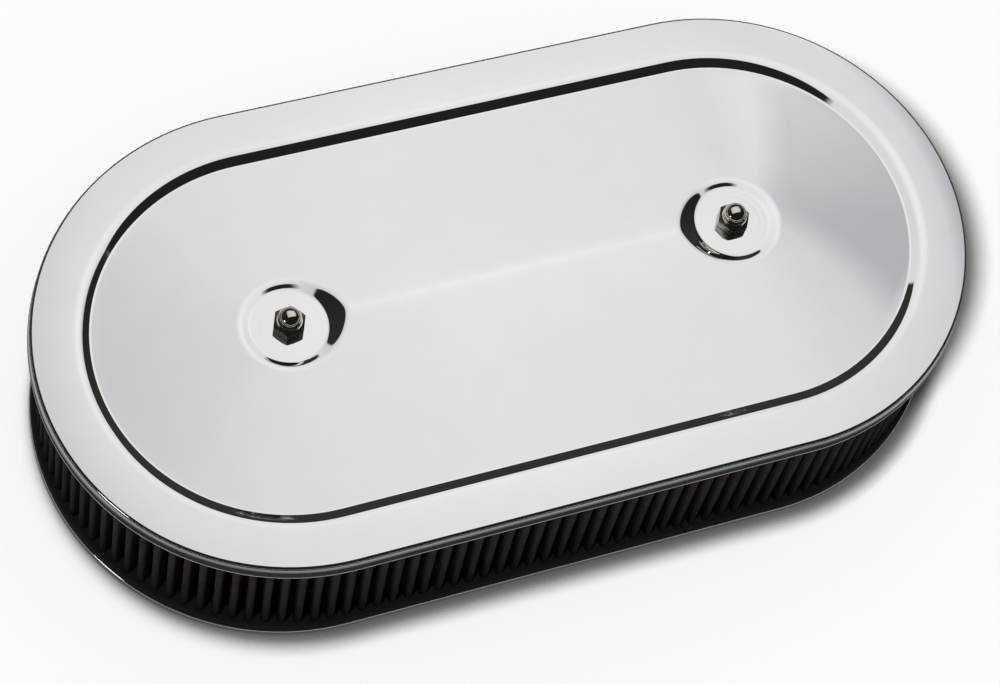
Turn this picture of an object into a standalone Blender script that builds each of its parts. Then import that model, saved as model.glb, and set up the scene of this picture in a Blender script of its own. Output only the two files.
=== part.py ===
"""Oval carburetor air cleaner for two carburetors in line.

A stamped lid and a stamped base hold a pleated filter element between them.
Two studs rise through the base's necks, and a cap nut on each clamps the lid.
Metres, +Z up, +X along the oval, origin under the middle on the standing plane.
"""

import math

import bmesh
import bpy
from mathutils import Vector

OBJECT_NAME = "carburetor_air_cleaner"

# Plan of the oval
END_SPACING = 0.2266  # between the centres of the two round ends
STUD_SPACING = 0.2254  # between the two carburetors' studs
END_STEPS = 20  # facets round each half-circle end

# Sheet metal and clearances
SHEET = 0.0008
SEAT_GAP = 0.0003  # between two pieces that touch
STUD_CLEARANCE = 0.0005  # round a stud in its hole in the lid

# Neck gaskets, which carry the whole cleaner
NECK_RADIUS = 0.0655
GASKET_THICKNESS = 0.0029
GASKET_WIDTH = 0.0090
GASKET_CLEARANCE = 0.0004  # between the neck's wall and the ring's inner edge

# Base pan
BASE_OVERHANG = 0.0025  # of the base's edge past the lid's flange
BASE_EDGE_FILLET = 0.0012
BASE_LIP_DEPTH = 0.0029  # below the underside of the flange
BASE_RIB_HEIGHT = 0.0030  # of the pressed rib that the element is centred on
BASE_RIB_WIDTH = 0.0100
BASE_RIB_SLOPE_WIDTH = 0.0028
BASE_RIB_FILLET = 0.0020
NECK_LIP_HEIGHT = 0.0050

# Filter element
ELEMENT_HEIGHT = 0.0788
SEAL_CLEARANCE = 0.0004  # between the top ring and the lid's bead
BOTTOM_SEAL_INSET = 0.0008  # of the bottom ring's edge from the base's edge
SEAL_HEIGHT = 0.0035
SEAL_FILLET = 0.0012
PLEAT_PITCH = 0.0078
PLEAT_SET_BACK = 0.0007  # of the folds from the top ring's edges
PLEAT_TIP_SHARE = 0.42  # of the pitch, taken by the blunt outer fold
MEDIA_THICKNESS = 0.0008

# Lid
LID_RADIUS = 0.1195  # outside of the turned-down flange
LID_EDGE_FILLET = 0.0015
LID_FLANGE_DEPTH = 0.0080  # from the rim's top to the bead's centre
BEAD_RADIUS = 0.00165
BEAD_STEPS = 6
RIM_WIDTH = 0.0227
RIM_FILLET = 0.0110
STEP_WIDTH = 0.0060  # of the slope from the rim down to the panel
PANEL_DROP = 0.0033  # of the panel's edge below the rim
PANEL_FILLET = 0.0020
RIDGE_HEIGHT = 0.0087  # of the panel's ridge above the rim

# Pockets for the nuts
POCKET_RADIUS = 0.0183
POCKET_LEVEL = 0.0044  # of the flat seat above the rim
POCKET_WALL_SLOPE = math.radians(20)
POCKET_FILLET = 0.0020

# Studs and nuts
STUD_RADIUS = 0.0032
STUD_LENGTH = 0.0850
STUD_CHAMFER = 0.0006
NUT_FLATS = 0.0143
NUT_HEX_HEIGHT = 0.0058
NUT_CHAMFER = math.radians(35)
NUT_TOP_MARGIN = 0.0003  # of the flat top round the dome
DOME_RADIUS = 0.0058
DOME_CENTRE_HEIGHT = 0.0072  # above the underside of the nut
NUT_ANGLES = {"left": math.radians(8), "right": math.radians(2)}  # from +X to a corner
BORE_CLEARANCE = 0.0003
BORE_DEPTH = 0.0102
STUD_END_GAP = 0.0006  # between the stud's end and the bottom of the bore

# Facets
FILLET_STEPS = 2
SMALL_FILLET_STEPS = 1
ROUND_STEPS = 24
NECK_STEPS = 36
STUD_STEPS = 16
DOME_STEPS = 6

# Levels that follow from the sizes above
BASE_UNDERSIDE = GASKET_THICKNESS + SEAT_GAP
BASE_TOP = BASE_UNDERSIDE + SHEET
ELEMENT_BOTTOM = BASE_TOP + SEAT_GAP
ELEMENT_TOP = ELEMENT_BOTTOM + ELEMENT_HEIGHT
RIM_TOP = ELEMENT_TOP + SEAT_GAP + SHEET
RIDGE_TOP = RIM_TOP + RIDGE_HEIGHT
POCKET_FLOOR = RIM_TOP + POCKET_LEVEL
NUT_BOTTOM = POCKET_FLOOR + SEAT_GAP
STUD_TOP = NUT_BOTTOM + BORE_DEPTH - STUD_END_GAP

# Radii that follow from the sizes above
GASKET_INNER_RADIUS = NECK_RADIUS + GASKET_CLEARANCE
GASKET_OUTER_RADIUS = GASKET_INNER_RADIUS + GASKET_WIDTH
BASE_RADIUS = LID_RADIUS + BASE_OVERHANG
RIM_INNER_RADIUS = LID_RADIUS - RIM_WIDTH
PANEL_RADIUS = RIM_INNER_RADIUS - STEP_WIDTH
RIM_FLAT_RADIUS = RIM_INNER_RADIUS + RIM_FILLET * math.tan(math.atan2(PANEL_DROP, STEP_WIDTH) / 2)
BEAD_CENTRE_RADIUS = LID_RADIUS - SHEET / 2
SEAL_INNER_RADIUS = RIM_FLAT_RADIUS
TOP_SEAL_RADIUS = BEAD_CENTRE_RADIUS - BEAD_RADIUS - SEAL_CLEARANCE
BOTTOM_SEAL_RADIUS = BASE_RADIUS - BOTTOM_SEAL_INSET
PLEAT_ROOT_RADIUS = SEAL_INNER_RADIUS + PLEAT_SET_BACK
PLEAT_TIP_RADIUS = TOP_SEAL_RADIUS - PLEAT_SET_BACK
BASE_RIB_RADIUS = SEAL_INNER_RADIUS - SEAT_GAP

SIDES = (("left", -STUD_SPACING / 2), ("right", STUD_SPACING / 2))
SHARP_ANGLE = math.radians(35)  # edges that bend more than this show as edges
BEYOND = 0.02  # how far a cutter reaches past what it cuts
MERGE = 0.000001


def clear_scene():
    for obj in list(bpy.data.objects):
        bpy.data.objects.remove(obj)


def make_collection(name):
    collection = bpy.data.collections.new(name)
    bpy.context.scene.collection.children.link(collection)
    return collection


def make_material(name, colour, roughness, metallic):
    material = bpy.data.materials.new(name)
    material.use_nodes = True
    shader = material.node_tree.nodes["Principled BSDF"]
    shader.inputs["Base Color"].default_value = (*colour, 1)
    shader.inputs["Roughness"].default_value = roughness
    shader.inputs["Metallic"].default_value = metallic
    return material


def add_object(name, mesh, collection, material=None):
    obj = bpy.data.objects.new(name, mesh)
    collection.objects.link(obj)
    if material:
        mesh.materials.append(material)
    else:
        obj.hide_render = True
        obj.display_type = "WIRE"
    return obj


def mesh_from(bm, name):
    mesh = bpy.data.meshes.new(name)
    bm.to_mesh(mesh)
    bm.free()
    mesh.shade_smooth()
    mesh.set_sharp_from_angle(angle=SHARP_ANGLE)
    return mesh


def add_boolean(obj, operation, other):
    modifier = obj.modifiers.new(other.name, "BOOLEAN")
    modifier.operation = operation
    modifier.solver = "EXACT"
    modifier.object = other


def rounded(corners, steps):
    """A line through (radius, height, fillet) corners, each rounded by its fillet."""
    line = [Vector(corners[0][:2])]
    for before, corner, after in zip(corners, corners[1:], corners[2:]):
        point = Vector(corner[:2])
        back = (Vector(before[:2]) - point).normalized()
        ahead = (Vector(after[:2]) - point).normalized()
        if corner[2] == 0:
            line.append(point)
            continue
        half = back.angle(ahead) / 2
        centre = point + (back + ahead).normalized() * corner[2] / math.sin(half)
        start = point + back * corner[2] / math.tan(half) - centre
        turn = math.pi - 2 * half
        if back.cross(ahead) > 0:
            turn = -turn
        for step in range(steps + 1):
            angle = turn * step / steps
            across = start.x * math.cos(angle) - start.y * math.sin(angle)
            along = start.x * math.sin(angle) + start.y * math.cos(angle)
            line.append(centre + Vector((across, along)))
    line.append(Vector(corners[-1][:2]))
    return line


def beneath(line, depth):
    """The line that lies this deep under one that runs outwards from the axis."""
    mirrored = Vector((-line[1].x, line[1].y))
    points = [mirrored] + line + [line[-1] * 2 - line[-2]]
    shifted = []
    for before, point, after in zip(points, points[1:], points[2:]):
        first = (point - before).normalized()
        second = (after - point).normalized()
        down = Vector((first.y, -first.x))
        middle = (down + Vector((second.y, -second.x))).normalized()
        shifted.append(point + middle * depth / middle.dot(down))
    return shifted


def arc(centre_radius, centre_height, radius, first, last, steps):
    """Points of an arc, from one angle to the other, 0 pointing away from the axis."""
    points = []
    for step in range(steps + 1):
        angle = first + (last - first) * step / steps
        across = centre_radius + radius * math.cos(angle)
        points.append(Vector((across, centre_height + radius * math.sin(angle))))
    return points


def carried_round(name, line, closed):
    """Mesh of a line of (radius, height) points carried once round the oval."""
    bm = bmesh.new()
    half = END_SPACING / 2
    verts = [bm.verts.new((half, -point.x, point.y)) for point in line]
    edges = [bm.edges.new(pair) for pair in zip(verts, verts[1:])]
    if closed:
        edges.append(bm.edges.new((verts[-1], verts[0])))
    for side in (1, -1):
        spun = bmesh.ops.spin(
            bm,
            geom=verts + edges,
            cent=(side * half, 0, 0),
            axis=(0, 0, 1),
            angle=math.pi,
            steps=END_STEPS,
        )
        ends = [item for item in spun["geom_last"] if isinstance(item, bmesh.types.BMEdge)]
        run = bmesh.ops.extrude_edge_only(bm, edges=ends)["geom"]
        verts = [item for item in run if isinstance(item, bmesh.types.BMVert)]
        bmesh.ops.translate(bm, verts=verts, vec=(-side * END_SPACING, 0, 0))
        moved = set(verts)
        edges = [
            item
            for item in run
            if isinstance(item, bmesh.types.BMEdge) and moved.issuperset(item.verts)
        ]
    bmesh.ops.remove_doubles(bm, verts=bm.verts[:], dist=MERGE)
    bmesh.ops.recalc_face_normals(bm, faces=bm.faces[:])
    return mesh_from(bm, name)


def turned(name, line, place, steps, collection, material=None, shift=0.25):
    """A shape turned about the vertical axis at place, from a line that runs down.

    Its facets start a share of one facet off the X axis. Shapes that cross have
    different shares, so that their edges never lie on each other.
    """
    bm = bmesh.new()
    verts = [bm.verts.new((point[0], 0, point[1])) for point in line]
    for pair in zip(verts, verts[1:]):
        bm.edges.new(pair)
    if line[0][0] > 0:
        bm.edges.new((verts[-1], verts[0]))
    obj = add_object(name, mesh_from(bm, name), collection, material)
    obj.location = place
    obj.rotation_euler.z = shift * math.tau / steps
    screw = obj.modifiers.new("turn", "SCREW")
    screw.steps = steps
    screw.render_steps = steps
    screw.use_merge_vertices = True
    screw.merge_threshold = MERGE
    return obj


def pocket_line(depth, top):
    """Half section of a pocket, or of the outside of its wall at this depth."""
    level = POCKET_FLOOR - depth
    outside = POCKET_RADIUS + depth * math.tan(POCKET_WALL_SLOPE / 2)
    corners = [
        (0, level, 0),
        (outside, level, POCKET_FILLET + depth),
        (outside + (top - level) / math.tan(POCKET_WALL_SLOPE), top, 0),
    ]
    return rounded(corners, FILLET_STEPS)[::-1]


def add_pocket(lid, middle, name, x, cutters):
    """Presses a nut's pocket down into the panel, whose middle line is given."""
    top = max(point.y for point in middle) + BEYOND
    low = POCKET_FLOOR - BEYOND
    core_line = middle + [Vector((middle[-1].x, low)), Vector((0, low))]
    core = add_object(name + "_core", carried_round(name + "_core", core_line, False), cutters)
    outer = [(0, top)] + pocket_line(SHEET, top)
    wall = turned(name + "_wall", outer, (x, 0, 0), ROUND_STEPS, cutters, shift=0.5)
    add_boolean(wall, "INTERSECT", core)
    inner = [(0, top)] + pocket_line(0, top)
    hollow = turned(name + "_hollow", inner, (x, 0, 0), ROUND_STEPS, cutters, shift=0.5)
    add_boolean(lid, "UNION", wall)
    add_boolean(lid, "DIFFERENCE", hollow)


def add_hole(sheet, name, x, radius, low, high, steps, cutters):
    line = [(0, high + BEYOND), (radius, high + BEYOND), (radius, low - BEYOND), (0, low - BEYOND)]
    add_boolean(sheet, "DIFFERENCE", turned(name, line, (x, 0, 0), steps, cutters, shift=0.75))


def make_lid(parts, cutters):
    corners = [
        (0, RIDGE_TOP, 0),
        (PANEL_RADIUS, RIM_TOP - PANEL_DROP, PANEL_FILLET),
        (RIM_INNER_RADIUS, RIM_TOP, RIM_FILLET),
        (LID_RADIUS, RIM_TOP, LID_EDGE_FILLET),
    ]
    bead_height = RIM_TOP - LID_FLANGE_DEPTH
    bead_top = math.acos(SHEET / 2 / BEAD_RADIUS)
    flange_end = bead_height + BEAD_RADIUS * math.sin(bead_top)
    top = rounded(corners + [(LID_RADIUS, flange_end, 0)], FILLET_STEPS)
    bead_end = -math.pi - bead_top
    bead = arc(BEAD_CENTRE_RADIUS, bead_height, BEAD_RADIUS, bead_top, bead_end, BEAD_STEPS)
    section = top[:-1] + bead + beneath(top, SHEET)[-2::-1]
    lid = add_object(
        "lid",
        carried_round("lid", section, False),
        parts,
        make_material("chrome_lid", (0.80, 0.80, 0.81), 0.06, 1.0),
    )
    panel = beneath(rounded(corners, FILLET_STEPS), SHEET / 2)
    middle = [point for point in panel if point.x < PANEL_RADIUS]
    for side, x in SIDES:
        add_pocket(lid, middle, side + "_pocket", x, cutters)
        hole = STUD_RADIUS + STUD_CLEARANCE
        add_hole(lid, side + "_lid_hole", x, hole, POCKET_FLOOR, RIDGE_TOP, STUD_STEPS, cutters)


def make_base(parts, cutters):
    rib_top = BASE_TOP + BASE_RIB_HEIGHT
    rib_foot = BASE_RIB_RADIUS - BASE_RIB_WIDTH
    corners = [
        (0, BASE_TOP, 0),
        (rib_foot, BASE_TOP, BASE_RIB_FILLET),
        (rib_foot + BASE_RIB_SLOPE_WIDTH, rib_top, BASE_RIB_FILLET),
        (BASE_RIB_RADIUS - BASE_RIB_SLOPE_WIDTH, rib_top, BASE_RIB_FILLET),
        (BASE_RIB_RADIUS, BASE_TOP, BASE_RIB_FILLET),
        (BASE_RADIUS, BASE_TOP, BASE_EDGE_FILLET),
        (BASE_RADIUS, BASE_UNDERSIDE - BASE_LIP_DEPTH, 0),
    ]
    top = rounded(corners, SMALL_FILLET_STEPS)
    base = add_object(
        "base_pan",
        carried_round("base_pan", top + beneath(top, SHEET)[::-1], False),
        parts,
        make_material("chrome_base", (0.72, 0.72, 0.73), 0.10, 1.0),
    )
    for side, x in SIDES:
        name = side + "_neck"
        lip = [
            (NECK_RADIUS + SHEET, BASE_TOP + NECK_LIP_HEIGHT),
            (NECK_RADIUS + SHEET, BASE_TOP - SHEET / 2),
            (NECK_RADIUS - SHEET, BASE_TOP - SHEET / 2),
            (NECK_RADIUS - SHEET, BASE_TOP + NECK_LIP_HEIGHT),
        ]
        add_boolean(base, "UNION", turned(name + "_lip", lip, (x, 0, 0), NECK_STEPS, cutters))
        add_hole(base, name + "_hole", x, NECK_RADIUS, BASE_UNDERSIDE, BASE_TOP, NECK_STEPS, cutters)


def make_gaskets(parts):
    material = make_material("gasket_rubber", (0.03, 0.03, 0.03), 0.7, 0.0)
    section = [
        (GASKET_OUTER_RADIUS, GASKET_THICKNESS),
        (GASKET_OUTER_RADIUS, 0),
        (GASKET_INNER_RADIUS, 0),
        (GASKET_INNER_RADIUS, GASKET_THICKNESS),
    ]
    for side, x in SIDES:
        turned(side + "_neck_gasket", section, (x, 0, 0), NECK_STEPS, parts, material)


def make_seal(name, outer_radius, bottom, parts, material):
    """One moulded end ring of the filter element."""
    top = bottom + SEAL_HEIGHT
    middle = (SEAL_INNER_RADIUS + outer_radius) / 2
    corners = [
        (middle, top, 0),
        (outer_radius, top, SEAL_FILLET),
        (outer_radius, bottom, SEAL_FILLET),
        (SEAL_INNER_RADIUS, bottom, 0),
        (SEAL_INNER_RADIUS, top, 0),
        (middle, top, 0),
    ]
    section = rounded(corners, SMALL_FILLET_STEPS)[1:-1]
    add_object(name, carried_round(name, section, True), parts, material)


def oval_point(distance, radius, pitch_radius):
    """Place at this distance round the oval, measured at the pitch radius."""
    straight = END_SPACING
    end = math.pi * pitch_radius
    lap, rest = divmod(distance, straight + end)
    side = 1 if lap % 2 == 0 else -1
    if rest < straight:
        return Vector((side * (rest - straight / 2), -side * radius))
    angle = (rest - straight) / pitch_radius - math.pi / 2
    across = straight / 2 + radius * math.cos(angle)
    return Vector((side * across, side * radius * math.sin(angle)))


def make_media(parts):
    """The pleated sheet: blunt folds outside, sharp folds inside, open at both ends."""
    bm = bmesh.new()
    low = ELEMENT_BOTTOM + SEAL_HEIGHT + SEAT_GAP
    high = ELEMENT_TOP - SEAL_HEIGHT - SEAT_GAP
    tip = PLEAT_TIP_RADIUS - MEDIA_THICKNESS / 2
    root = PLEAT_ROOT_RADIUS + MEDIA_THICKNESS / 2
    around = 2 * END_SPACING + 2 * math.pi * tip
    count = round(around / PLEAT_PITCH)
    pitch = around / count
    blunt = pitch * PLEAT_TIP_SHARE
    verts = []
    for pleat in range(count):
        start = pleat * pitch
        for distance, radius in ((0, tip), (blunt, tip), ((pitch + blunt) / 2, root)):
            place = oval_point(start + distance, radius, tip)
            verts.append(bm.verts.new((place.x, place.y, low)))
    edges = [bm.edges.new(pair) for pair in zip(verts, verts[1:] + verts[:1])]
    wall = bmesh.ops.extrude_edge_only(bm, edges=edges)["geom"]
    raised = [item for item in wall if isinstance(item, bmesh.types.BMVert)]
    bmesh.ops.translate(bm, verts=raised, vec=(0, 0, high - low))
    bmesh.ops.recalc_face_normals(bm, faces=bm.faces[:])
    media = add_object(
        "pleated_media",
        mesh_from(bm, "pleated_media"),
        parts,
        make_material("dark_gauze", (0.035, 0.020, 0.018), 0.8, 0.0),
    )
    sheet = media.modifiers.new("thickness", "SOLIDIFY")
    sheet.thickness = MEDIA_THICKNESS
    sheet.offset = 0
    sheet.use_even_offset = True


def make_element(parts):
    rubber = make_material("seal_rubber", (0.02, 0.02, 0.02), 0.6, 0.0)
    make_seal("bottom_seal", BOTTOM_SEAL_RADIUS, ELEMENT_BOTTOM, parts, rubber)
    make_seal("top_seal", TOP_SEAL_RADIUS, ELEMENT_TOP - SEAL_HEIGHT, parts, rubber)
    make_media(parts)


def make_studs(parts):
    material = make_material("plated_stud", (0.55, 0.54, 0.50), 0.35, 1.0)
    bottom = STUD_TOP - STUD_LENGTH
    line = [
        (0, STUD_TOP),
        (STUD_RADIUS - STUD_CHAMFER, STUD_TOP),
        (STUD_RADIUS, STUD_TOP - STUD_CHAMFER),
        (STUD_RADIUS, bottom + STUD_CHAMFER),
        (STUD_RADIUS - STUD_CHAMFER, bottom),
        (0, bottom),
    ]
    for side, x in SIDES:
        turned(side + "_stud", line, (x, 0, 0), STUD_STEPS, parts, material)


def make_nuts(parts, cutters):
    """Each nut is a hexagon chamfered on top, with a dome over a blind bore."""
    material = make_material("dark_nickel", (0.22, 0.21, 0.19), 0.12, 1.0)
    corner = NUT_FLATS / math.sqrt(3)
    shoulder = DOME_RADIUS + NUT_TOP_MARGIN
    chamfer_drop = (corner + BEYOND - shoulder) * math.tan(NUT_CHAMFER)
    shaping = [
        (0, NUT_HEX_HEIGHT),
        (shoulder, NUT_HEX_HEIGHT),
        (corner + BEYOND, NUT_HEX_HEIGHT - chamfer_drop),
        (corner + BEYOND, -BEYOND),
        (0, -BEYOND),
    ]
    dome = arc(0, DOME_CENTRE_HEIGHT, DOME_RADIUS, math.pi / 2, 0, DOME_STEPS)
    dome[0].x = 0
    base = NUT_HEX_HEIGHT / 2
    dome += [Vector((DOME_RADIUS, base)), Vector((0, base))]
    bore = STUD_RADIUS + BORE_CLEARANCE
    blind = [(0, BORE_DEPTH), (bore, BORE_DEPTH), (bore, -BEYOND), (0, -BEYOND)]
    for side, x in SIDES:
        name = side + "_cap_nut"
        bm = bmesh.new()
        bmesh.ops.create_cone(
            bm,
            cap_ends=True,
            segments=6,
            radius1=corner,
            radius2=corner,
            depth=NUT_HEX_HEIGHT,
        )
        bmesh.ops.translate(bm, verts=bm.verts[:], vec=(0, 0, NUT_HEX_HEIGHT / 2))
        nut = add_object(name, mesh_from(bm, name), parts, material)
        nut.location = (x, 0, NUT_BOTTOM)
        nut.rotation_euler.z = NUT_ANGLES[side] - math.pi / 2
        place = nut.location
        add_boolean(nut, "INTERSECT", turned(name + "_chamfer", shaping, place, ROUND_STEPS, cutters))
        add_boolean(nut, "UNION", turned(name + "_dome", dome, place, STUD_STEPS, cutters))
        add_boolean(nut, "DIFFERENCE", turned(name + "_bore", blind, place, STUD_STEPS, cutters))


def main():
    clear_scene()
    parts = make_collection(OBJECT_NAME)
    cutters = make_collection("cutters")
    make_gaskets(parts)
    make_base(parts, cutters)
    make_element(parts)
    make_lid(parts, cutters)
    make_studs(parts)
    make_nuts(parts, cutters)


main()
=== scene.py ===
"""The oval air cleaner on a white studio floor: mirror chrome, dark pleats, two cap nuts.

Metres, in the frame of the CAD model. Lengths of the sheet metal are measured from
the top of the lid's flat rim, or from the top of the base pan's flange.
"""

import math

import bmesh
import bpy
from mathutils import Matrix, Vector


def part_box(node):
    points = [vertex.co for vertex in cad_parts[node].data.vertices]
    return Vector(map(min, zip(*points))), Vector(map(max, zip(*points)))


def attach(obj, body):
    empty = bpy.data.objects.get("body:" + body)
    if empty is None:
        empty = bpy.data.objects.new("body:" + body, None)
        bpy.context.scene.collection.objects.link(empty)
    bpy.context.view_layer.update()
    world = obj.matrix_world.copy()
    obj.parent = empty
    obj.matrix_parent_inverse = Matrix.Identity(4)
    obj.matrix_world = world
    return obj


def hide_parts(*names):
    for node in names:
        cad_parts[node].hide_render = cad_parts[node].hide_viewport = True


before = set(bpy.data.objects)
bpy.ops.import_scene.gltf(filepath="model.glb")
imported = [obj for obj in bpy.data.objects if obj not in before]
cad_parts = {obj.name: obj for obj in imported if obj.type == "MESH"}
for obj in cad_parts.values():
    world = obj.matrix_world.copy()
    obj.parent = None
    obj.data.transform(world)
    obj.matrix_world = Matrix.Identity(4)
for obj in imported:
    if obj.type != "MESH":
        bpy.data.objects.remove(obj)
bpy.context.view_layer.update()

SIDES = (("left", -1), ("right", 1))
SHEET = 0.0008
SEAT_GAP = 0.0003
MERGE = 0.000001
SHARP_ANGLE = math.radians(35)
NUT_SHARP_ANGLE = math.radians(20)
BEYOND = 0.01  # how far a cutter reaches past what it cuts

# Lid
RIDGE_HEIGHT = 0.0087  # of the panel's ridge above the rim
RIDGE_ROUNDING = 0.0025
RIM_INNER_RADIUS = 0.0970
RIM_FILLET = 0.0100
PANEL_RADIUS = 0.0915
PANEL_DROP = 0.0036
PANEL_FILLET = 0.0020
LID_EDGE_FILLET = 0.0016
BEAD_RADIUS = 0.00165
FLANGE_DRAFT = 0.0008  # how far the flange leans out down to the bead

# Pockets for the nuts
SEAT_RADIUS = 0.0186
SEAT_LEVEL = 0.0044  # of the flat seat above the rim
POCKET_SLOPE = math.tan(math.radians(18.6))
POCKET_RIDGE_SLOPE = math.tan(math.radians(25))  # on the side of the ridge
POCKET_FOOT_ROUNDING = 0.00020
POCKET_LIP_ROUNDING = 0.0008
POCKET_REACH = 0.033  # from the stud to where the pocket no longer changes the panel
SEAT_RING_RADIUS = 0.0146
SEAT_RING_WIDTH = 0.0006
SEAT_RING_DEPTH = 0.00003
STUD_HOLE_RADIUS = 0.0037

# Base pan
BASE_EDGE_FILLET = 0.0012
BASE_RIB_HEIGHT = 0.0030
BASE_RIB_WIDTH = 0.0100
BASE_RIB_SLOPE_WIDTH = 0.0028
BASE_RIB_FILLET = 0.0020
NECK_RADIUS = 0.0655
NECK_LIP_HEIGHT = 0.0050
GASKET_CLEARANCE = 0.0004

# Filter element
SEAL_REACH = 0.01988  # from the lid's edge in to the rings' inner edge
SEAL_FILLET = 0.0012
PLEAT_PITCH = 0.0078
PLEAT_NOSE_SHARE = 0.38  # of the pitch, taken by the rounded outer fold
PLEAT_NOSE_DEPTH = 0.7  # of the outer fold, in its half widths
PLEAT_FOOT_SHARE = 0.25  # half the inner fold's width, in half widths of the outer one
PLEAT_FLARE = 0.0027  # how much farther out the folds reach at the bottom than at the top
PLEAT_SET_BACK = 0.0007
MEDIA_THICKNESS = 0.0008
MESH_BAR_PITCH = 0.0024
MESH_WIRE_PITCH = 0.00105
MEDIA_SHADE_HEIGHT = 0.050  # over which the painted shade on the gauze deepens towards its foot

# Nuts
NUT_FLATS = 0.0143
NUT_HEX_HEIGHT = 0.0058
NUT_CHAMFER = math.radians(35)
NUT_TOP_MARGIN = 0.0003
DOME_RADIUS = 0.0058
DOME_CENTRE_HEIGHT = 0.0072
NUT_EDGE_WIDTH = 0.00018
NUT_BORE_RADIUS = 0.0035
NUT_BORE_DEPTH = 0.0102
NUT_ANGLES = {"left": math.radians(8), "right": math.radians(2)}
THREAD_PITCH = 0.00127

# Fineness of the meshes
END_STEPS = 64  # round each half-circle end
RUN_STEP = 0.0020  # along the straight sides, beside the pockets
RUN_COARSE_STEP = 0.0060
PANEL_STEP = 0.0020
POCKET_CUTS = 3  # extra cuts of each panel edge near a pocket
FILLET_STEPS = 6
FOLD_STEPS = 8
DOME_STEPS = 20
BEAD_STEPS = 20
TURN_STEPS = 96
STUD_STEPS = 32

# Places taken from the frame
LID_LOW, LID_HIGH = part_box("lid")
BASE_LOW, BASE_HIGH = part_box("base_pan")
RIM_TOP = LID_HIGH[2] - RIDGE_HEIGHT
BASE_RADIUS = (BASE_HIGH[1] - BASE_LOW[1]) / 2
END_SPACING = (BASE_HIGH[0] - BASE_LOW[0]) - 2 * BASE_RADIUS
BEAD_CENTRE_RADIUS = (LID_HIGH[1] - LID_LOW[1]) / 2 - BEAD_RADIUS
LID_RADIUS = BEAD_CENTRE_RADIUS + SHEET / 2
LID_FLANGE_DEPTH = RIM_TOP - LID_LOW[2] - BEAD_RADIUS
SEAL_INNER_RADIUS = LID_RADIUS - SEAL_REACH
GASKET_LOW, GASKET_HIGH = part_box("left_neck_gasket")
MEDIA_LOW, MEDIA_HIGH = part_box("pleated_media")
STUD_LOW, STUD_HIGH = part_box("right_stud")
STUD_X = (STUD_LOW[0] + STUD_HIGH[0]) / 2
NUT_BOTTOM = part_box("left_cap_nut")[0][2]
BASE_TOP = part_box("bottom_seal")[0][2] - SEAT_GAP
PANEL_SLOPE = (RIDGE_HEIGHT + PANEL_DROP) / PANEL_RADIUS


def oval_radius(x, y):
    """Distance from the line between the centres of the two round ends."""
    return math.hypot(max(abs(x) - END_SPACING / 2, 0), y)


def smooth_min(a, b, rounding):
    share = max(rounding - abs(a - b), 0) / rounding
    return min(a, b) - share * share * rounding / 4


def roof_height(radius):
    """Height of the plain hip roof over the rim, with a rounded ridge."""
    rounded_radius = math.hypot(radius, RIDGE_ROUNDING) - RIDGE_ROUNDING
    rest = 1 + RIDGE_ROUNDING / PANEL_RADIUS
    return RIDGE_HEIGHT - PANEL_SLOPE * rounded_radius * rest


def panel_height(x, y):
    """Height over the rim of the roof with its two pockets."""
    height = roof_height(oval_radius(x, y))
    for _, side in SIDES:
        distance = math.hypot(x - side * STUD_X, y)
        if distance > POCKET_REACH:
            continue
        towards_ridge = max(STUD_X - side * x, 0) / max(distance, SEAT_RADIUS)
        slope = POCKET_SLOPE + (POCKET_RIDGE_SLOPE - POCKET_SLOPE) * towards_ridge**3
        climb = slope * (distance - SEAT_RADIUS)
        wall = SEAT_LEVEL - smooth_min(0, -climb, POCKET_FOOT_ROUNDING)
        ring = (distance - SEAT_RING_RADIUS) / SEAT_RING_WIDTH
        wall -= SEAT_RING_DEPTH * math.exp(-ring * ring)
        height = smooth_min(height, wall, POCKET_LIP_ROUNDING)
    return height


def rounded(corners, steps):
    """A line through (radius, height, fillet) corners, each rounded by its fillet."""
    line = [Vector(corners[0][:2])]
    for before, corner, after in zip(corners, corners[1:], corners[2:]):
        point = Vector(corner[:2])
        back = (Vector(before[:2]) - point).normalized()
        ahead = (Vector(after[:2]) - point).normalized()
        if corner[2] == 0:
            line.append(point)
            continue
        half = back.angle(ahead) / 2
        centre = point + (back + ahead).normalized() * corner[2] / math.sin(half)
        start = point + back * corner[2] / math.tan(half) - centre
        turn = math.pi - 2 * half
        if back.cross(ahead) > 0:
            turn = -turn
        for step in range(steps + 1):
            angle = turn * step / steps
            across = start.x * math.cos(angle) - start.y * math.sin(angle)
            along = start.x * math.sin(angle) + start.y * math.cos(angle)
            line.append(centre + Vector((across, along)))
    line.append(Vector(corners[-1][:2]))
    return line


def beneath(line, depth):
    """The line that lies this deep under one that runs outwards from the axis."""
    mirrored = Vector((-line[1].x, line[1].y))
    points = [mirrored] + line + [line[-1] * 2 - line[-2]]
    shifted = []
    for before, point, after in zip(points, points[1:], points[2:]):
        first = (point - before).normalized()
        second = (after - point).normalized()
        down = Vector((first.y, -first.x))
        middle = (down + Vector((second.y, -second.x))).normalized()
        shifted.append(point + middle * depth / middle.dot(down))
    return shifted


def arc(centre_radius, centre_height, radius, first, last, steps):
    points = []
    for step in range(steps + 1):
        angle = first + (last - first) * step / steps
        across = centre_radius + radius * math.cos(angle)
        points.append(Vector((across, centre_height + radius * math.sin(angle))))
    return points


def run_stops(fine_reach, fine_step, coarse_step):
    """Distances from one end at which a straight side is divided, the other end included."""
    fine = [fine_step * (step + 1) for step in range(round(fine_reach / fine_step))]
    middle = END_SPACING - 2 * fine[-1]
    count = max(1, round(middle / coarse_step))
    coarse = [fine[-1] + middle * (step + 1) / count for step in range(count)]
    closing = [END_SPACING - stop for stop in reversed(fine[:-1])]
    return fine + coarse + closing + [END_SPACING]


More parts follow.
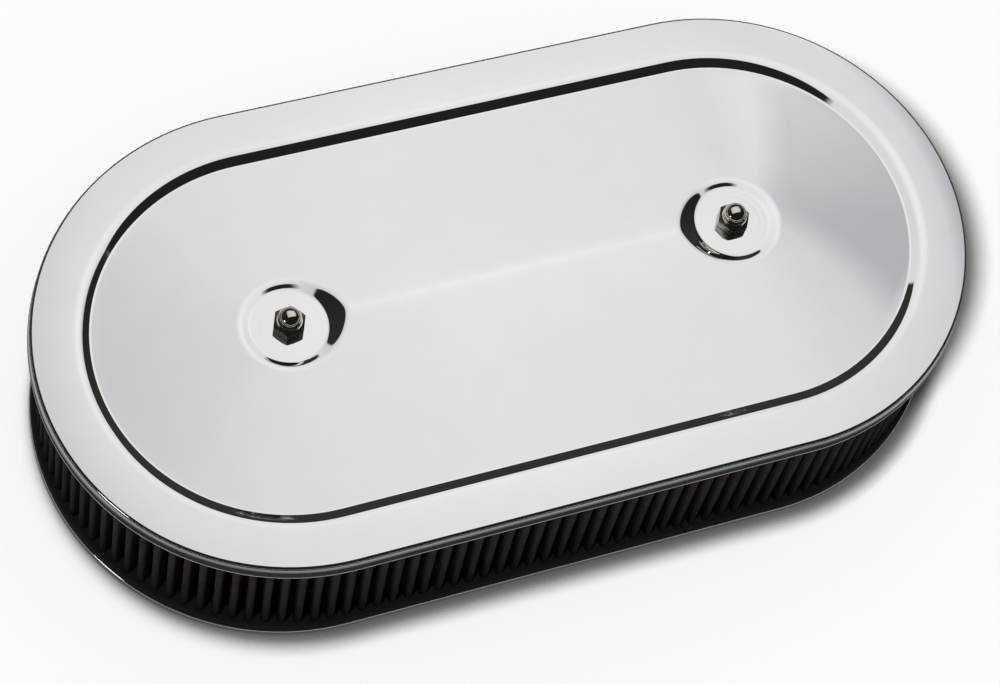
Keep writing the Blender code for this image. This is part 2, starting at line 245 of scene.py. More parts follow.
def carried_round(line, stops, closed):
    """A bmesh of a line of (radius, height) points carried once round the oval."""
    bm = bmesh.new()
    half = END_SPACING / 2
    verts = [bm.verts.new((half, -point.x, point.y)) for point in line]
    edges = [bm.edges.new(pair) for pair in zip(verts, verts[1:])]
    if closed:
        edges.append(bm.edges.new((verts[-1], verts[0])))
    for side in (1, -1):
        spun = bmesh.ops.spin(
            bm,
            geom=verts + edges,
            cent=(side * half, 0, 0),
            axis=(0, 0, 1),
            angle=math.pi,
            steps=END_STEPS,
        )
        edges = [item for item in spun["geom_last"] if isinstance(item, bmesh.types.BMEdge)]
        reached = 0
        for stop in stops:
            run = bmesh.ops.extrude_edge_only(bm, edges=edges)["geom"]
            verts = [item for item in run if isinstance(item, bmesh.types.BMVert)]
            bmesh.ops.translate(bm, verts=verts, vec=(side * (reached - stop), 0, 0))
            reached = stop
            moved = set(verts)
            edges = [
                item
                for item in run
                if isinstance(item, bmesh.types.BMEdge) and moved.issuperset(item.verts)
            ]
    bmesh.ops.remove_doubles(bm, verts=bm.verts[:], dist=MERGE)
    bmesh.ops.recalc_face_normals(bm, faces=bm.faces[:])
    return bm


def add_object(name, bm, material=None):
    mesh = bpy.data.meshes.new(name)
    bm.to_mesh(mesh)
    bm.free()
    mesh.shade_smooth()
    mesh.set_sharp_from_angle(angle=SHARP_ANGLE)
    obj = bpy.data.objects.new(name, mesh)
    bpy.context.scene.collection.objects.link(obj)
    if material:
        mesh.materials.append(material)
    return obj


def turned(line, place, steps, shift=0.25):
    """A bmesh of a closed (radius, height) line, or one from axis to axis, turned at place."""
    bm = bmesh.new()
    verts = [bm.verts.new((point[0], 0, point[1])) for point in line]
    edges = [bm.edges.new(pair) for pair in zip(verts, verts[1:])]
    if line[0][0] > 0:
        edges.append(bm.edges.new((verts[-1], verts[0])))
    bmesh.ops.rotate(
        bm,
        verts=verts,
        cent=(0, 0, 0),
        matrix=Matrix.Rotation(shift * math.tau / steps, 3, "Z"),
    )
    bmesh.ops.spin(
        bm,
        geom=verts + edges,
        cent=(0, 0, 0),
        axis=(0, 0, 1),
        angle=math.tau,
        steps=steps,
        use_merge=True,
    )
    bmesh.ops.remove_doubles(bm, verts=bm.verts[:], dist=MERGE)
    bmesh.ops.recalc_face_normals(bm, faces=bm.faces[:])
    bmesh.ops.translate(bm, verts=bm.verts[:], vec=place)
    return bm


def combine(obj, operation, bm):
    """Joins a bmesh to an object, or cuts it out of it."""
    tool = add_object(obj.name + "_tool", bm)
    modifier = obj.modifiers.new("combine", "BOOLEAN")
    modifier.operation = operation
    modifier.solver = "EXACT"
    modifier.object = tool
    graph = bpy.context.evaluated_depsgraph_get()
    mesh = bpy.data.meshes.new_from_object(obj.evaluated_get(graph))
    obj.modifiers.clear()
    obj.data = mesh
    bpy.data.objects.remove(tool)


class Nodes:
    """Short calls that add and join the nodes of one material."""

    def __init__(self, tree):
        self.tree = tree

    def add(self, kind, **settings):
        node = self.tree.nodes.new(kind)
        for name, value in settings.items():
            setattr(node, name, value)
        return node

    def link(self, source, target):
        self.tree.links.new(source, target)

    def feed(self, socket, value):
        if isinstance(value, bpy.types.NodeSocket):
            self.link(value, socket)
        else:
            socket.default_value = value

    def math(self, operation, *values):
        node = self.add("ShaderNodeMath", operation=operation)
        for socket, value in zip(node.inputs, values):
            self.feed(socket, value)
        return node.outputs[0]

    def ramp(self, factor, stops):
        node = self.add("ShaderNodeValToRGB")
        elements = node.color_ramp.elements
        while len(elements) < len(stops):
            elements.new(0.5)
        for element, (position, colour) in zip(elements, stops):
            element.position = position
            element.color = (*colour, 1)
        self.feed(node.inputs["Fac"], factor)
        return node.outputs["Color"]

    def noise(self, vector, scale, detail):
        node = self.add("ShaderNodeTexNoise")
        self.link(vector, node.inputs["Vector"])
        node.inputs["Scale"].default_value = scale
        node.inputs["Detail"].default_value = detail
        return node.outputs["Fac"]

    def part(self, vector, axis):
        node = self.add("ShaderNodeSeparateXYZ")
        self.link(vector, node.inputs[0])
        return node.outputs[axis]

    def sum_of_squares(self, a, b):
        return self.math("ADD", self.math("MULTIPLY", a, a), self.math("MULTIPLY", b, b))

    def ripple(self, distance, pitch):
        """A smooth wave from 0 to 1 and back over each pitch."""
        wave = self.math("SINE", self.math("MULTIPLY", distance, math.tau / pitch))
        return self.range(wave, -1.0, 1.0, 0.0, 1.0)

    def range(self, value, low, high, to_low, to_high):
        node = self.add("ShaderNodeMapRange")
        for socket, given in zip(node.inputs, (value, low, high, to_low, to_high)):
            self.feed(socket, given)
        return node.outputs["Result"]

    def bump(self, height, distance):
        node = self.add("ShaderNodeBump")
        self.feed(node.inputs["Height"], height)
        node.inputs["Distance"].default_value = distance
        return node.outputs["Normal"]


def new_material(name):
    material = bpy.data.materials.new(name)
    material.use_nodes = True
    nodes = Nodes(material.node_tree)
    shader = material.node_tree.nodes["Principled BSDF"]
    place = nodes.add("ShaderNodeTexCoord").outputs["Object"]
    return material, nodes, shader, place


def chrome_material():
    """Polished plating: faint polishing haze and a little dust in the roughness."""
    material, nodes, shader, place = new_material("chrome")
    shader.inputs["Metallic"].default_value = 1.0
    haze = nodes.noise(place, 60.0, 4.0)
    nodes.feed(
        shader.inputs["Base Color"],
        nodes.ramp(haze, [(0.3, (0.845, 0.845, 0.855)), (0.7, (0.865, 0.865, 0.870))]),
    )
    nodes.feed(shader.inputs["Roughness"], nodes.range(haze, 0.3, 0.7, 0.030, 0.045))
    return material


def nickel_material():
    """Bright plated nuts, yellower and darker than the lid; rougher on the hexagon, whose colour
    also carries painted shade.
    """
    material, nodes, shader, place = new_material("nut_plating")
    shader.inputs["Metallic"].default_value = 1.0
    tone = nodes.noise(place, 900.0, 3.0)
    hexagon_top = NUT_BOTTOM + NUT_HEX_HEIGHT
    sides = nodes.range(nodes.part(place, "Z"), hexagon_top - SHEET, hexagon_top, 1.0, 0.0)
    # painted shade: the hexagon's sides get a darker colour
    side_shaded_tone = nodes.math("MULTIPLY", tone, nodes.range(sides, 0.0, 1.0, 1.0, 0.45))
    tones = [
        (0.13, (0.28, 0.25, 0.20)),
        (0.32, (0.64, 0.60, 0.52)),
        (0.7, (0.74, 0.70, 0.62)),
    ]
    nodes.feed(shader.inputs["Base Color"], nodes.ramp(side_shaded_tone, tones))
    polish = nodes.range(tone, 0.3, 0.7, 0.06, 0.10)
    wear = nodes.math("MULTIPLY", sides, 0.15)
    nodes.feed(shader.inputs["Roughness"], nodes.math("ADD", polish, wear))
    return material


def rubber_material():
    """Moulded black rubber with a fine matt grain."""
    material, nodes, shader, place = new_material("black_rubber")
    grain = nodes.noise(place, 1500.0, 3.0)
    nodes.feed(
        shader.inputs["Base Color"],
        nodes.ramp(grain, [(0.3, (0.004, 0.004, 0.004)), (0.7, (0.008, 0.008, 0.008))]),
    )
    shader.inputs["Specular IOR Level"].default_value = 0.12
    nodes.feed(shader.inputs["Roughness"], nodes.range(grain, 0.3, 0.7, 0.55, 0.75))
    nodes.feed(shader.inputs["Normal"], nodes.bump(grain, 0.00005))
    return material


def gauze_material():
    """Dark oiled gauze under a wire mesh, with painted light on the folds' outer faces and painted
    shade in the inner folds and towards the foot.
    """
    material, nodes, shader, place = new_material("wire_gauze")
    along = nodes.add("ShaderNodeAttribute", attribute_name="along").outputs["Fac"]
    outward = nodes.add("ShaderNodeAttribute", attribute_name="outward").outputs["Fac"]
    height = nodes.part(place, "Z")
    bars = nodes.math("POWER", nodes.ripple(height, MESH_BAR_PITCH), 1.5)
    wires = nodes.math("POWER", nodes.ripple(along, MESH_WIRE_PITCH), 4.0)
    wires = nodes.math("MULTIPLY", wires, 0.3)
    mesh = nodes.math("MAXIMUM", bars, wires)
    uneven = nodes.range(nodes.noise(place, 120.0, 4.0), 0.3, 0.7, 0.55, 1.0)
    low, high = MEDIA_LOW[2], MEDIA_LOW[2] + MEDIA_SHADE_HEIGHT
    # painted light on the folds' outer faces, painted shade in the inner folds, and painted shade
    # deepening towards the foot
    painted_fold_light = nodes.math("MULTIPLY", nodes.math("POWER", outward, 5.0), uneven)
    painted_fold_light = nodes.math("MULTIPLY", painted_fold_light, nodes.range(height, low, high, 0.35, 1.0))
    shade = nodes.math("MULTIPLY", nodes.range(mesh, 0.0, 1.0, 0.06, 1.0), painted_fold_light)
    nodes.feed(
        shader.inputs["Base Color"],
        nodes.ramp(shade, [(0.0, (0.002, 0.0015, 0.0015)), (1.0, (0.046, 0.035, 0.033))]),
    )
    shader.inputs["Specular IOR Level"].default_value = 0.15
    nodes.feed(shader.inputs["Roughness"], nodes.range(mesh, 0.0, 1.0, 0.9, 0.6))
    nodes.feed(shader.inputs["Normal"], nodes.bump(mesh, 0.00025))
    return material


def zinc_material():
    """Plated rod with the fine turns of its thread, its colour darker in the grooves as painted
    shade.
    """
    material, nodes, shader, place = new_material("zinc_thread")
    shader.inputs["Metallic"].default_value = 1.0
    thread = nodes.ripple(nodes.part(place, "Z"), THREAD_PITCH)
    # painted shade: the colour is darker in the thread's grooves
    nodes.feed(
        shader.inputs["Base Color"],
        nodes.ramp(thread, [(0.0, (0.34, 0.33, 0.29)), (1.0, (0.60, 0.59, 0.54))]),
    )
    nodes.feed(shader.inputs["Roughness"], nodes.range(thread, 0.0, 1.0, 0.5, 0.3))
    nodes.feed(shader.inputs["Normal"], nodes.bump(thread, 0.0006))
    return material


def lid_section():
    """The lid's closed section."""
    rows = round((PANEL_RADIUS - 3 * PANEL_FILLET) / PANEL_STEP)
    panel = [
        Vector((PANEL_STEP * row, RIM_TOP + roof_height(PANEL_STEP * row))) for row in range(rows)
    ]
    bead_height = RIM_TOP - LID_FLANGE_DEPTH
    flange_foot = LID_RADIUS + FLANGE_DRAFT
    bead_top = math.acos((flange_foot - BEAD_CENTRE_RADIUS) / BEAD_RADIUS)
    flange_end = bead_height + BEAD_RADIUS * math.sin(bead_top)
    last = PANEL_STEP * rows
    corners = [
        (last, RIM_TOP + roof_height(last), 0),
        (PANEL_RADIUS, RIM_TOP - PANEL_DROP, PANEL_FILLET),
        (RIM_INNER_RADIUS, RIM_TOP, RIM_FILLET),
        (LID_RADIUS, RIM_TOP, LID_EDGE_FILLET),
        (flange_foot, flange_end, 0),
    ]
    top = panel + rounded(corners, FILLET_STEPS)
    bead_end = math.acos((flange_foot - SHEET - BEAD_CENTRE_RADIUS) / BEAD_RADIUS) - math.tau
    bead = arc(BEAD_CENTRE_RADIUS, bead_height, BEAD_RADIUS, bead_top, bead_end, BEAD_STEPS)
    return top[:-1] + bead + beneath(top, SHEET)[-2::-1]


def near_pocket(point):
    return any(
        math.hypot(point.x - side * STUD_X, point.y) < POCKET_REACH - PANEL_STEP
        for _, side in SIDES
    )


def on_top(point):
    """Whether a point of the panel lies on the sheet's upper side."""
    return point.z > RIM_TOP + roof_height(oval_radius(point.x, point.y)) - SHEET / 2


def make_lid(chrome):
    bm = carried_round(lid_section(), run_stops(POCKET_REACH, RUN_STEP, RUN_COARSE_STEP), False)
    fine = [
        edge
        for edge in bm.edges
        if all(near_pocket(vert.co) and on_top(vert.co) for vert in edge.verts)
    ]
    bmesh.ops.subdivide_edges(bm, edges=fine, cuts=POCKET_CUTS, use_grid_fill=True)
    many_sided = [face for face in bm.faces if len(face.verts) > 4]
    bmesh.ops.triangulate(bm, faces=many_sided)
    flat_reach = PANEL_RADIUS - 2 * PANEL_FILLET
    for vert in bm.verts:
        if oval_radius(vert.co.x, vert.co.y) > flat_reach:
            continue
        thickness = 0 if on_top(vert.co) else SHEET
        vert.co.z = RIM_TOP + panel_height(vert.co.x, vert.co.y) - thickness
    lid = add_object("lid_shell", bm, chrome)
    for _, side in SIDES:
        line = [(0, BEYOND), (STUD_HOLE_RADIUS, BEYOND), (STUD_HOLE_RADIUS, -BEYOND), (0, -BEYOND)]
        combine(lid, "DIFFERENCE", turned(line, (side * STUD_X, 0, RIM_TOP), STUD_STEPS))
    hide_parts("lid")
    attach(lid, "cleaner")


def make_base(chrome):
    rib_radius = SEAL_INNER_RADIUS - SEAT_GAP
    rib_foot = rib_radius - BASE_RIB_WIDTH
    rib_top = BASE_TOP + BASE_RIB_HEIGHT
    corners = [
        (0, BASE_TOP, 0),
        (rib_foot, BASE_TOP, BASE_RIB_FILLET),
        (rib_foot + BASE_RIB_SLOPE_WIDTH, rib_top, BASE_RIB_FILLET),
        (rib_radius - BASE_RIB_SLOPE_WIDTH, rib_top, BASE_RIB_FILLET),
        (rib_radius, BASE_TOP, BASE_RIB_FILLET),
        (BASE_RADIUS, BASE_TOP, BASE_EDGE_FILLET),
        (BASE_RADIUS, BASE_LOW[2], 0),
    ]
    top = rounded(corners, FILLET_STEPS)
    section = top + beneath(top, SHEET)[::-1]
    base = add_object("base_shell", carried_round(section, [END_SPACING], False), chrome)
    for _, side in SIDES:
        place = (side * STUD_X, 0, 0)
        lip_top = BASE_TOP + NECK_LIP_HEIGHT
        lip = [(NECK_RADIUS + SHEET, lip_top), (NECK_RADIUS + SHEET, BASE_TOP - SHEET / 2)]
        lip += [(NECK_RADIUS - SHEET, BASE_TOP - SHEET / 2), (NECK_RADIUS - SHEET, lip_top)]
        combine(base, "UNION", turned(lip, place, TURN_STEPS))
        above = lip_top + BEYOND
        hole = [(0, above), (NECK_RADIUS, above), (NECK_RADIUS, -BEYOND), (0, -BEYOND)]
        combine(base, "DIFFERENCE", turned(hole, place, TURN_STEPS, 0.75))
    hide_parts("base_pan")
    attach(base, "cleaner")


def make_gaskets(rubber):
    outer = (GASKET_HIGH[0] - GASKET_LOW[0]) / 2
    inner = NECK_RADIUS + GASKET_CLEARANCE
    line = [(outer, GASKET_HIGH[2]), (outer, GASKET_LOW[2])]
    line += [(inner, GASKET_LOW[2]), (inner, GASKET_HIGH[2])]
    for name, side in SIDES:
        turn = turned(line, (side * STUD_X, 0, 0), TURN_STEPS)
        ring = add_object(name + "_gasket_ring", turn, rubber)
        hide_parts(name + "_neck_gasket")
        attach(ring, "cleaner")


def make_seals(rubber):
    inner = SEAL_INNER_RADIUS
    for node in ("bottom_seal", "top_seal"):
        low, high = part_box(node)
        bottom = low[2]
        top = high[2]
        outer = (high[1] - low[1]) / 2
        middle = (inner + outer) / 2
        corners = [
            (middle, top, 0),
            (outer, top, SEAL_FILLET),
            (outer, bottom, SEAL_FILLET),
            (inner, bottom, 0),
            (inner, top, 0),
            (middle, top, 0),
        ]
        section = rounded(corners, FILLET_STEPS)[1:-1]
        ring = add_object(node + "_ring", carried_round(section, [END_SPACING], True), rubber)
        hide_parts(node)
        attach(ring, "cleaner")


def oval_point(distance, radius, pitch_radius):
    """Place at this distance round the oval, measured at the pitch radius."""
    end = math.pi * pitch_radius
    lap, rest = divmod(distance, END_SPACING + end)
    side = 1 if lap % 2 == 0 else -1
    if rest < END_SPACING:
        return Vector((side * (rest - END_SPACING / 2), -side * radius, 0))
    angle = (rest - END_SPACING) / pitch_radius - math.pi / 2
    across = END_SPACING / 2 + radius * math.cos(angle)
    return Vector((side * across, side * radius * math.sin(angle), 0))


def pleat_path(centre, pitch, tip, root):
    """The (distance, radius) points of one rounded outer fold and of the inner one after it."""
    nose = pitch * PLEAT_NOSE_SHARE / 2
    centre_radius = tip - nose * PLEAT_NOSE_DEPTH
    path = []
    for point in arc(0, 0, nose, math.pi, 0, FOLD_STEPS):
        path.append((centre + point.x, centre_radius + point.y * PLEAT_NOSE_DEPTH))
    for bend in (-PLEAT_FOOT_SHARE, PLEAT_FOOT_SHARE):
        path.append((centre + pitch / 2 + bend * nose, root))
    return path


def make_pleats(gauze):
    tip = (MEDIA_HIGH[1] - MEDIA_LOW[1]) / 2 - MEDIA_THICKNESS / 2
    root = SEAL_INNER_RADIUS + PLEAT_SET_BACK + MEDIA_THICKNESS / 2
    around = 2 * END_SPACING + math.tau * tip
    count = round(around / PLEAT_PITCH)
    pitch = around / count
    bm = bmesh.new()
    along = bm.verts.layers.float.new("along")
    outward = bm.verts.layers.float.new("outward")
    verts = []
    travelled = 0
    for pleat in range(count):
        for distance, radius in pleat_path(pleat * pitch, pitch, tip, root):
            share = (radius - root) / (tip - root)
            vert = bm.verts.new(oval_point(distance, radius + PLEAT_FLARE * share, tip))
            if verts:
                travelled += (vert.co - verts[-1].co).length
            vert[along] = travelled
            vert[outward] = share
            verts.append(vert)
    edges = [bm.edges.new(pair) for pair in zip(verts, verts[1:] + verts[:1])]
    bmesh.ops.translate(bm, verts=verts, vec=(0, 0, MEDIA_LOW[2]))
    wall = bmesh.ops.extrude_edge_only(bm, edges=edges)["geom"]
    raised = [item for item in wall if isinstance(item, bmesh.types.BMVert)]
    bmesh.ops.translate(bm, verts=raised, vec=(0, 0, MEDIA_HIGH[2] - MEDIA_LOW[2]))
    for vert in raised:
        nearest = min(max(vert.co.x, -END_SPACING / 2), END_SPACING / 2)
        inward = Vector((nearest - vert.co.x, -vert.co.y, 0)).normalized()
        vert.co += inward * PLEAT_FLARE * vert[outward]
    bmesh.ops.recalc_face_normals(bm, faces=bm.faces[:])
    pleats = add_object("pleats", bm, gauze)
    sheet = pleats.modifiers.new("thickness", "SOLIDIFY")
    sheet.thickness = MEDIA_THICKNESS
    sheet.offset = 0
    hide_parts("pleated_media")
    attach(pleats, "cleaner")


def nut_hexagon(turn):
    """A bmesh of a plain hexagon with slightly rounded upright edges."""
    corner = NUT_FLATS / math.sqrt(3)
    bm = bmesh.new()
    bmesh.ops.create_cone(
        bm,
        cap_ends=True,
        segments=6,
        radius1=corner,
        radius2=corner,
        depth=NUT_HEX_HEIGHT,
        matrix=Matrix.Rotation(turn - math.pi / 2, 4, "Z"),
    )
    upright = [edge for edge in bm.edges if edge.verts[0].co.z * edge.verts[1].co.z < 0]
    bmesh.ops.bevel(
        bm,
        geom=upright,
        offset=NUT_EDGE_WIDTH,
        offset_type="OFFSET",
        segments=2,
        profile=0.5,
        affect="EDGES",
    )
    return bm


def make_nuts(nickel):
    """Each nut is a hexagon chamfered on top, a narrow collar and a dome over a blind bore."""
    shoulder = DOME_RADIUS + NUT_TOP_MARGIN
    wide = 2 * NUT_FLATS / math.sqrt(3)
    drop = (wide - shoulder) * math.tan(NUT_CHAMFER)
    shaping = [(0, NUT_HEX_HEIGHT), (shoulder, NUT_HEX_HEIGHT), (wide, NUT_HEX_HEIGHT - drop)]
    shaping += [(wide, -BEYOND), (0, -BEYOND)]
    dome = arc(0, DOME_CENTRE_HEIGHT, DOME_RADIUS, math.pi / 2, 0, DOME_STEPS)
    dome[0].x = 0
    dome += [Vector((DOME_RADIUS, NUT_HEX_HEIGHT / 2)), Vector((0, NUT_HEX_HEIGHT / 2))]
    bore = [(0, NUT_BORE_DEPTH), (NUT_BORE_RADIUS, NUT_BORE_DEPTH)]
    bore += [(NUT_BORE_RADIUS, -BEYOND), (0, -BEYOND)]
    for name, side in SIDES:
        place = Vector((side * STUD_X, 0, NUT_BOTTOM))
        bm = nut_hexagon(NUT_ANGLES[name])
        bmesh.ops.translate(bm, verts=bm.verts[:], vec=place + Vector((0, 0, NUT_HEX_HEIGHT / 2)))
        nut = add_object(name + "_dome_nut", bm, nickel)
        combine(nut, "INTERSECT", turned(shaping, place, TURN_STEPS))
        combine(nut, "UNION", turned(dome, place, TURN_STEPS))
        combine(nut, "DIFFERENCE", turned(bore, place, STUD_STEPS))
        nut.data.shade_smooth()
        nut.data.set_sharp_from_angle(angle=NUT_SHARP_ANGLE)
        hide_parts(name + "_cap_nut")
        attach(nut, name + "_nut")


# Studio
VIEW_AZIMUTH = -0.5914
VIEW_ELEVATION = 1.1153
VIEW_ROLL = 0.3057
VIEW_DISTANCE = 1.22544
VIEW_TARGET = Vector((-0.01738, -0.03130, RIM_TOP))
VIEW_LENS = 92.95
CARD_HEIGHT = 0.50  # of the light card above the lid's rim
CARD_WEST, CARD_EAST = -0.32, 0.67
CARD_SOUTH, CARD_NORTH = -0.08, 0.69
CARD_SLANT = 0.08  # how much farther back the card reaches at its west edge
CARD_CORNER = 0.50  # where the front edge turns off to cut the east corner
CARD_BLUR = 0.02
CARD_CENTRE = (0.12, 0.21)
CARD_SPREAD = (0.24, 0.15)
CARD_MIDDLE_GAIN = 0.10
CARD_TONES = ((0.02, 0.66), (0.18, 0.79), (0.42, 0.86), (0.62, 0.84), (0.82, 0.73), (0.88, 0.53))
SURROUND_SIZE = 12.0  # of the ceiling and the grey cloth
FLOOR_SIZE = 6.0
FLOOR_LEVEL = -0.0002
# tones of the floor's painted shadow, from its darkest to the bare paper
FLOOR_SHADES = ((0.1, 0.11), (0.35, 0.145), (0.56, 0.30), (0.74, 0.63), (0.9, 0.89), (1.0, 0.985))
FLOOR_SHADE_REACH = 0.014
FLOOR_SHADE_LEAN = (-0.4, 0.5, 1.0)  # the way from which the floor's shade is gathered
CLOTH_REACH = 0.15  # over which the cloth's tones change, from the base's edge
KEY_PLACE = Vector((-0.57, -0.34, 1.0))
KEY_STRENGTH = 3.0
KEY_SPREAD = math.radians(8)
ROUND_LAMP_PLACE = Vector((-1.04, -0.32, 0.42))
ROUND_LAMP_RADIUS = 0.11
ROUND_LAMP_STRENGTH = 3.5


def make_camera():
    azimuth, elevation, roll = VIEW_AZIMUTH, VIEW_ELEVATION, VIEW_ROLL
    back = Vector(
        (
            math.sin(azimuth) * math.cos(elevation),
            -math.cos(azimuth) * math.cos(elevation),
            math.sin(elevation),
        )
    )
    level = Vector((math.cos(azimuth), math.sin(azimuth), 0))
    up = back.cross(level)
    right = level * math.cos(roll) + up * math.sin(roll)
    above = up * math.cos(roll) - level * math.sin(roll)
    data = bpy.data.cameras.new("camera")
    data.sensor_width = 36.0
    data.lens = VIEW_LENS
    data.clip_start = 0.01
    camera = bpy.data.objects.new("camera", data)
    bpy.context.scene.collection.objects.link(camera)
    place = VIEW_TARGET + back * VIEW_DISTANCE
    turn = Matrix((right, above, back)).transposed()
    camera.matrix_world = Matrix.Translation(place) @ turn.to_4x4()
    bpy.context.scene.camera = camera


def flat_sheet(name, size, height, material):
    bm = bmesh.new()
    bmesh.ops.create_grid(bm, x_segments=1, y_segments=1, size=size)
    bmesh.ops.translate(bm, verts=bm.verts[:], vec=(0, 0, height))
    sheet = add_object(name, bm, material)
    return sheet


def greys(tones):
    """A ramp's stops from (place, tone) pairs."""
    return [(place, (tone, tone, tone)) for place, tone in tones]


def make_floor():
    """White paper with a painted shadow close to what stands on it."""
    material, nodes, shader, _ = new_material("floor_paper")
    shader.inputs["Roughness"].default_value = 1.0
    shader.inputs["Specular IOR Level"].default_value = 0.0
    lean = nodes.add("ShaderNodeCombineXYZ")
    for socket, value in zip(lean.inputs, FLOOR_SHADE_LEAN):
        socket.default_value = value
    # painted shadow: ambient occlusion darkens the paper near the object
    shade = nodes.add("ShaderNodeAmbientOcclusion", samples=16)
    shade.inputs["Distance"].default_value = FLOOR_SHADE_REACH
    nodes.link(lean.outputs[0], shade.inputs["Normal"])
    tone = nodes.range(shade.outputs["AO"], 0.45, 0.95, 0.0, 1.0)
    nodes.feed(shader.inputs["Base Color"], nodes.ramp(tone, greys(FLOOR_SHADES)))
    flat_sheet("floor", FLOOR_SIZE, FLOOR_LEVEL, material)


def make_grey_sheet():
    """A grey cloth that only the polished metal sees: painted shade darkens it beside the base,
    and it is dark farther out.
    """
    material, nodes, shader, place = new_material("grey_cloth")
    shader.inputs["Roughness"].default_value = 1.0
    shader.inputs["Specular IOR Level"].default_value = 0.0
    x, y = nodes.part(place, "X"), nodes.part(place, "Y")
    past_centre = nodes.math("SUBTRACT", nodes.math("ABSOLUTE", x), END_SPACING / 2)
    past_end = nodes.math("MAXIMUM", past_centre, 0)
    squares = nodes.sum_of_squares(past_end, y)
    away = nodes.math("SUBTRACT", nodes.math("SQRT", squares), BASE_RADIUS)
    # painted shade: the first tone darkens the cloth just beside the base, for the floor's shadow
    # seen in the metal
    tones = [
        (0.02, (0.09, 0.096, 0.094)),
        (0.08, (0.37, 0.40, 0.39)),
        (0.40, (0.37, 0.40, 0.39)),
        (0.65, (0.03, 0.03, 0.03)),
    ]
    share = nodes.range(away, 0.0, CLOTH_REACH, 0.0, 1.0)
    nodes.feed(shader.inputs["Base Color"], nodes.ramp(share, tones))
    cloth = flat_sheet("grey_cloth", SURROUND_SIZE, FLOOR_LEVEL / 2, material)
    only_in_reflections(cloth)


def card_glow(nodes, x, y):
    """Brightness of the card: strongest over the middle, weaker to both sides."""
    across = nodes.range(x, CARD_WEST, CARD_EAST, 0.0, 1.0)
    level = nodes.ramp(across, greys(CARD_TONES))
    dx = nodes.math("DIVIDE", nodes.math("SUBTRACT", x, CARD_CENTRE[0]), CARD_SPREAD[0])
    dy = nodes.math("DIVIDE", nodes.math("SUBTRACT", y, CARD_CENTRE[1]), CARD_SPREAD[1])
    away = nodes.math("MULTIPLY", nodes.sum_of_squares(dx, dy), -1.0)
    middle = nodes.math("MULTIPLY", nodes.math("EXPONENT", away), CARD_MIDDLE_GAIN)
    east = nodes.range(x, 0.38, 0.56, 0.0, 1.0)
    lift = nodes.math("MULTIPLY", nodes.range(y, 0.20, 0.60, 0.0, 0.26), east)
    return nodes.math("ADD", nodes.math("ADD", level, middle), lift)


def glowing_material(name):
    """A material that only glows, with the nodes' helper and its emission node."""
    material = bpy.data.materials.new(name)
    material.use_nodes = True
    material.node_tree.nodes.clear()
    nodes = Nodes(material.node_tree)
    emission = nodes.add("ShaderNodeEmission")
    output = nodes.add("ShaderNodeOutputMaterial")
    nodes.link(emission.outputs[0], output.inputs["Surface"])
    return material, nodes, emission


def only_in_reflections(obj):
    obj.visible_camera = False
    obj.visible_diffuse = False
    obj.visible_shadow = False


def make_reflector():
    """A dark ceiling with one bright card, seen only in the polished metal."""
    material, nodes, emission = glowing_material("studio_ceiling")
    place = nodes.add("ShaderNodeTexCoord").outputs["Object"]
    x, y = nodes.part(place, "X"), nodes.part(place, "Y")
    north = nodes.range(x, CARD_WEST, CARD_CENTRE[0], CARD_NORTH + CARD_SLANT, CARD_NORTH)
    south = nodes.range(x, CARD_CORNER, CARD_EAST, CARD_SOUTH, CARD_CENTRE[1])
    inside = (
        nodes.range(x, CARD_WEST, CARD_WEST + CARD_BLUR, 0.0, 1.0),
        nodes.range(x, CARD_EAST - CARD_BLUR, CARD_EAST, 1.0, 0.0),
        nodes.range(nodes.math("SUBTRACT", y, south), 0.0, CARD_BLUR, 0.0, 1.0),
        nodes.range(nodes.math("SUBTRACT", north, y), 0.0, CARD_BLUR, 0.0, 1.0),
    )
    card = card_glow(nodes, x, y)
    for edge in inside:
        card = nodes.math("MULTIPLY", card, edge)
    dark = nodes.range(y, -0.1, 1.0, 0.016, 0.036)
    total = nodes.math("ADD", card, dark)
    tints = [(0.0, (1.0, 0.93, 0.90)), (0.5, (0.92, 0.95, 1.0)), (0.9, (1.0, 0.985, 0.985))]
    nodes.link(nodes.ramp(total, tints), emission.inputs["Color"])
    nodes.link(total, emission.inputs["Strength"])
    only_in_reflections(flat_sheet("ceiling", SURROUND_SIZE, RIM_TOP + CARD_HEIGHT, material))


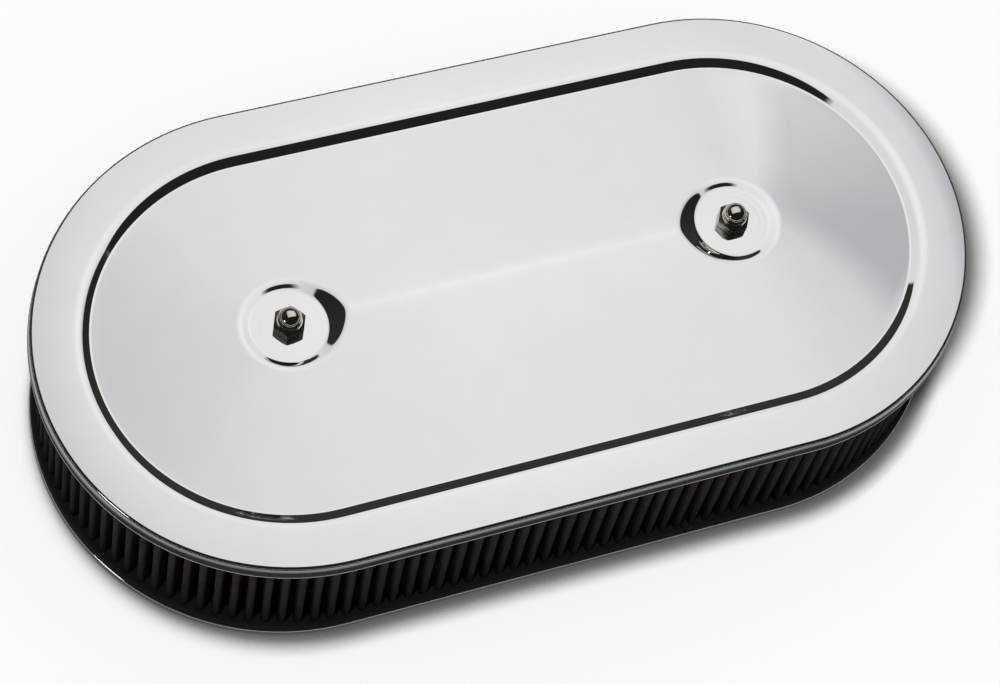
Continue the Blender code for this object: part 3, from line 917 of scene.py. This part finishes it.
def make_round_lamp():
    """A small round light low on the left, which only polished metal shows."""
    material, _, emission = glowing_material("round_lamp")
    emission.inputs["Strength"].default_value = ROUND_LAMP_STRENGTH
    turn = ROUND_LAMP_PLACE.to_track_quat("Z", "Y").to_matrix().to_4x4()
    bm = bmesh.new()
    bmesh.ops.create_circle(
        bm,
        cap_ends=True,
        segments=STUD_STEPS,
        radius=ROUND_LAMP_RADIUS,
        matrix=Matrix.Translation(ROUND_LAMP_PLACE) @ turn,
    )
    lamp = add_object("round_lamp", bm, material)
    only_in_reflections(lamp)


def make_key_lamp():
    """One soft sun from the front left, which the metal doesn't show."""
    data = bpy.data.lights.new("key", "SUN")
    data.energy = KEY_STRENGTH
    data.angle = KEY_SPREAD
    lamp = bpy.data.objects.new("key", data)
    bpy.context.scene.collection.objects.link(lamp)
    lamp.location = KEY_PLACE
    lamp.rotation_euler = KEY_PLACE.to_track_quat("Z", "Y").to_euler()
    lamp.visible_glossy = False


def make_world():
    world = bpy.data.worlds.new("studio")
    world.use_nodes = True
    bpy.context.scene.world = world
    background = world.node_tree.nodes["Background"]
    background.inputs["Color"].default_value = (1.0, 1.0, 1.0, 1.0)
    nodes = Nodes(world.node_tree)
    rays = nodes.add("ShaderNodeLightPath")
    seen = nodes.math("MAXIMUM", rays.outputs["Is Camera Ray"], rays.outputs["Is Glossy Ray"])
    seen = nodes.math("MAXIMUM", seen, rays.outputs["Is Transmission Ray"])
    nodes.link(nodes.range(seen, 0.0, 1.0, 0.2, 1.0), background.inputs["Strength"])


def main():
    chrome = chrome_material()
    rubber = rubber_material()
    make_camera()
    make_lid(chrome)
    make_base(chrome)
    make_seals(rubber)
    make_pleats(gauze_material())
    make_gaskets(rubber)
    make_nuts(nickel_material())
    zinc = zinc_material()
    for name, _ in SIDES:
        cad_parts[name + "_stud"].material_slots[0].material = zinc
    make_floor()
    make_grey_sheet()
    make_reflector()
    make_round_lamp()
    make_world()
    make_key_lamp()
    bpy.context.scene.view_settings.view_transform = "Standard"


main()
